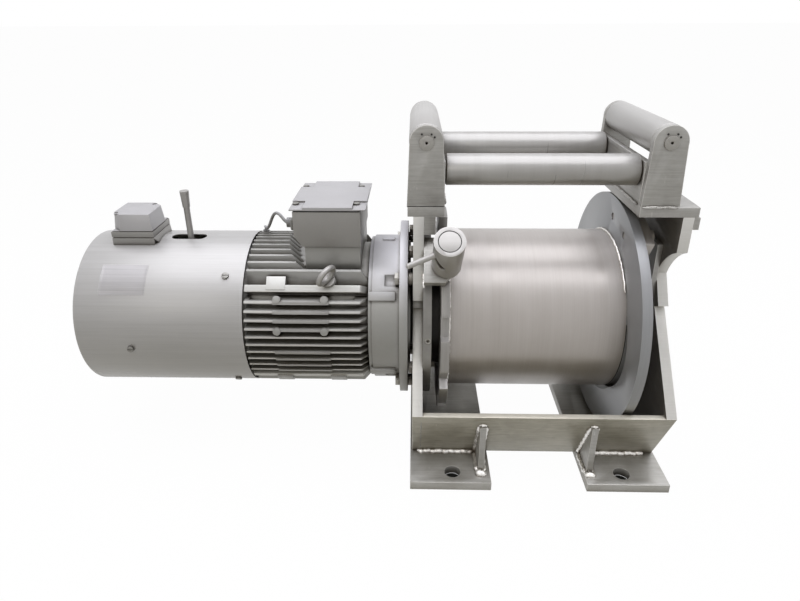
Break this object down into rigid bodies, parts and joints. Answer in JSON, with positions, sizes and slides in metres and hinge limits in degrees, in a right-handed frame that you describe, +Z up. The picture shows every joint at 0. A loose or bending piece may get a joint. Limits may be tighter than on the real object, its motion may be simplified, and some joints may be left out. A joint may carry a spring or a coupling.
{
  "type": "electric winch",
  "caption": "Electric winch on a plate frame: finned flange motor with fan cowl, planetary gear in the drum, notched lock disc with pin, and a roller fairlead on top.",
  "frame": {"origin": "centre of the four foot holes on the underside of the feet", "axes": "+X along the drum axis away from the motor, +Z up, -Y towards the lock pin"},
  "size_m": [0.957, 0.4221, 0.5622],
  "materials": {
    "frame_steel": "satin brushed stainless plate",
    "foot_steel": "satin stainless plate, drilled",
    "drum_steel": "turned stainless tube",
    "lock_disc_steel": "cut stainless disc",
    "machined_steel": "ground steel",
    "roller_steel": "fine turned stainless",
    "axle_steel": "turned stainless",
    "lock_steel": "bright turned stainless",
    "gearbox_paint": "dark painted cast housing",
    "bolt_steel": "stainless fasteners",
    "motor_silver": "silver painted cast aluminium",
    "eye_steel": "forged and plated",
    "core_steel": "laminated core",
    "box_silver": "silver painted cast boxes",
    "lid_silver": "silver painted cast lids",
    "cowl_sheet": "rolled stainless sheet",
    "label_sheet": "blank plate",
    "gland_grey": "moulded",
    "cable_grey": "smooth sheath",
    "brake_iron": "dark iron",
    "friction_lining": "pressed lining",
    "fan_motor_black": "black painted",
    "fan_plastic": "moulded"
  },
  "bodies": {
    "frame": {"feet": "foot_steel", "motor_side_plate": "frame_steel", "bearing_side_plate": "frame_steel", "rails": "frame_steel", "gussets": "frame_steel", "bearing_doubler": "frame_steel", "gearbox_housing": "gearbox_paint", "gearbox_cover": "gearbox_paint", "ring_gear": "machined_steel", "flange_bolts": "bolt_steel", "gearbox_bolts": "bolt_steel", "oil_plug": "bolt_steel", "main_bearing": "machined_steel", "drive_end_shield": "motor_silver", "motor_housing": "motor_silver", "stator": "core_steel", "rear_end_shield": "motor_silver", "motor_bearings": "machined_steel", "terminal_box": "box_silver", "terminal_lid": "lid_silver", "small_screws": "bolt_steel", "cable_gland": "gland_grey", "brake_cable": "cable_grey", "eyebolt": "eye_steel", "fan_cowl": "cowl_sheet", "fan_box": "box_silver", "fan_box_lid": "lid_silver", "label_plate": "label_sheet", "brake_magnet": "brake_iron", "fan_motor": "fan_motor_black", "lock_block": "frame_steel", "lock_sleeve": "lock_steel", "fairlead_base_left": "frame_steel", "fairlead_base_right": "frame_steel", "bracket_left": "frame_steel", "bracket_right": "frame_steel", "roller_axles": "axle_steel", "shaft_bearing": "machined_steel", "bearing_cover": "axle_steel"},
    "drum": {"drum_barrel": "drum_steel", "lock_disc": "lock_disc_steel", "drum_flange": "drum_steel", "rope_clamp": "drum_steel", "drum_shaft": "machined_steel", "planet_carrier": "machined_steel"},
    "rotor": {"motor_rotor": "machined_steel", "sun_gear": "machined_steel", "brake_disc": "friction_lining"},
    "planet_1": {"planet_gear_1": "machined_steel"},
    "planet_2": {"planet_gear_2": "machined_steel"},
    "planet_3": {"planet_gear_3": "machined_steel"},
    "fan": {"fan_impeller": "fan_plastic"},
    "armature": {"brake_armature": "brake_iron"},
    "lever": {"brake_lever": "brake_iron"},
    "front_roller": {"front_roller": "roller_steel"},
    "rear_roller": {"rear_roller": "roller_steel"},
    "left_roller": {"left_roller": "roller_steel"},
    "right_roller": {"right_roller": "roller_steel"},
    "lock_slider": {"lock_pin": "lock_steel"},
    "lock_turner": {"lock_handle": "lock_steel"}
  },
  "joints": [
    {"name": "drum_spin", "type": "hinge", "parent": "frame", "child": "drum", "pos_m": [0, 0, 0.225], "axis": [1, 0, 0], "continuous": true},
    {"name": "motor_spin", "type": "hinge", "parent": "frame", "child": "rotor", "pos_m": [-0.37, 0, 0.225], "axis": [1, 0, 0], "continuous": true},
    {"name": "planet_spin_1", "type": "hinge", "parent": "drum", "child": "planet_1", "pos_m": [-0.154, 0, 0.27563], "axis": [1, 0, 0], "continuous": true},
    {"name": "planet_spin_2", "type": "hinge", "parent": "drum", "child": "planet_2", "pos_m": [-0.154, -0.04384, 0.19969], "axis": [1, 0, 0], "continuous": true},
    {"name": "planet_spin_3", "type": "hinge", "parent": "drum", "child": "planet_3", "pos_m": [-0.154, 0.04384, 0.19969], "axis": [1, 0, 0], "continuous": true},
    {"name": "fan_spin", "type": "hinge", "parent": "frame", "child": "fan", "pos_m": [-0.633, 0, 0.225], "axis": [1, 0, 0], "continuous": true},
    {"name": "lever_turn", "type": "hinge", "parent": "frame", "child": "lever", "pos_m": [-0.5802, 0, 0.225], "axis": [0, -1, 0], "range_deg": [0, 8], "stiffness_Nm_per_rad": 30},
    {"name": "armature_slide", "type": "slide", "parent": "frame", "child": "armature", "axis": [-1, 0, 0], "range_m": [0, 0.0006]},
    {"name": "front_roller_spin", "type": "hinge", "parent": "frame", "child": "front_roller", "pos_m": [-0.017, -0.084, 0.492], "axis": [1, 0, 0], "continuous": true},
    {"name": "rear_roller_spin", "type": "hinge", "parent": "frame", "child": "rear_roller", "pos_m": [-0.017, 0.084, 0.492], "axis": [1, 0, 0], "continuous": true},
    {"name": "left_roller_spin", "type": "hinge", "parent": "frame", "child": "left_roller", "pos_m": [-0.185, 0, 0.5377], "axis": [0, 1, 0], "continuous": true},
    {"name": "right_roller_spin", "type": "hinge", "parent": "frame", "child": "right_roller", "pos_m": [0.151, 0, 0.5377], "axis": [0, 1, 0], "continuous": true},
    {"name": "lock_slide", "type": "slide", "parent": "frame", "child": "lock_slider", "axis": [0, 0.7071, -0.7071], "range_m": [0, 0.02]},
    {"name": "lock_twist", "type": "hinge", "parent": "lock_slider", "child": "lock_turner", "pos_m": [-0.1535, -0.17678, 0.40178], "axis": [0, -0.7071, 0.7071], "range_deg": [0, 43]}
  ],
  "couplings": [
    {"joint": "motor_spin", "follows": "drum_spin", "ratio": 5},
    {"joint": "planet_spin_1", "follows": "drum_spin", "ratio": -2.6667},
    {"joint": "planet_spin_2", "follows": "drum_spin", "ratio": -2.6667},
    {"joint": "planet_spin_3", "follows": "drum_spin", "ratio": -2.6667},
    {"joint": "armature_slide", "follows": "lever_turn", "m_per_rad": 0.0042},
    {"joint": "lock_twist", "follows": "lock_slide", "rad_per_m": 37.5}
  ]
}
